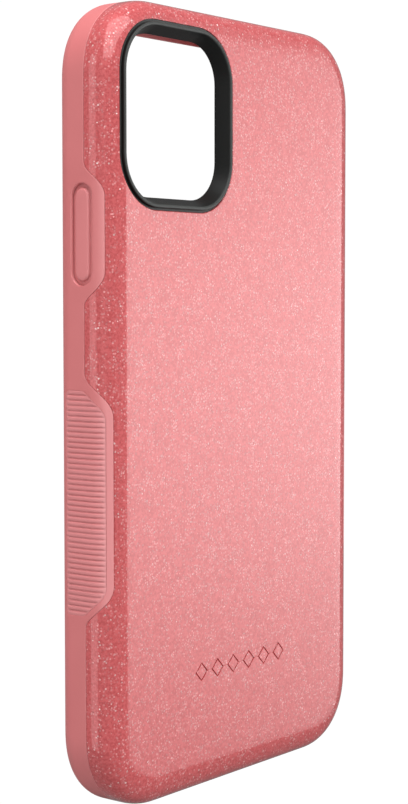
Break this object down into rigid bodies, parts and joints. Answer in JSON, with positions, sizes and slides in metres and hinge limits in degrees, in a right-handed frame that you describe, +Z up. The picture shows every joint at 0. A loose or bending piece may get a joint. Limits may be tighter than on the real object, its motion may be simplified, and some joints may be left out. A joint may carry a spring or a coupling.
{
  "type": "phone case",
  "caption": "Two-layer protective phone case: a hard glossy outer shell over a rubber liner, with sliding keys, ribbed side grips and a rounded camera bezel.",
  "frame": {"origin": "centre of the case's box, on the plane of its bottom edge", "axes": "+X across the width, to the right as seen from behind; +Y from the decorated back towards the screen opening; +Z up the height, from the charging-port end to the camera end"},
  "size_m": [0.0834, 0.0142, 0.1585],
  "materials": {
    "shell": "hard glossy coral-pink plastic with fine silver glitter",
    "liner": "smooth satin thermoplastic rubber, dusty rose",
    "bezel": "dark grey satin plastic",
    "key": "smooth satin thermoplastic rubber, dusty rose",
    "grip": "ribbed satin thermoplastic rubber, dusty rose"
  },
  "bodies": {
    "liner": {"inner_liner": "liner", "left_grip": "grip", "right_grip": "grip"},
    "shell": {"outer_shell": "shell", "camera_bezel": "bezel"},
    "power_key": {"power_button": "key"},
    "volume_up_key": {"volume_up_button": "key"},
    "volume_down_key": {"volume_down_button": "key"}
  },
  "joints": [
    {"name": "shell_release", "type": "slide", "parent": "liner", "child": "shell", "axis": [0, -1, 0], "range_m": [0, 0.012]},
    {"name": "power_press", "type": "slide", "parent": "liner", "child": "power_key", "axis": [1, 0, 0], "range_m": [0, 0.0005], "stiffness_N_per_m": 1500, "springref_m": -0.0005},
    {"name": "volume_up_press", "type": "slide", "parent": "liner", "child": "volume_up_key", "axis": [-1, 0, 0], "range_m": [0, 0.0005], "stiffness_N_per_m": 1500, "springref_m": -0.0005},
    {"name": "volume_down_press", "type": "slide", "parent": "liner", "child": "volume_down_key", "axis": [-1, 0, 0], "range_m": [0, 0.0005], "stiffness_N_per_m": 1500, "springref_m": -0.0005}
  ]
}
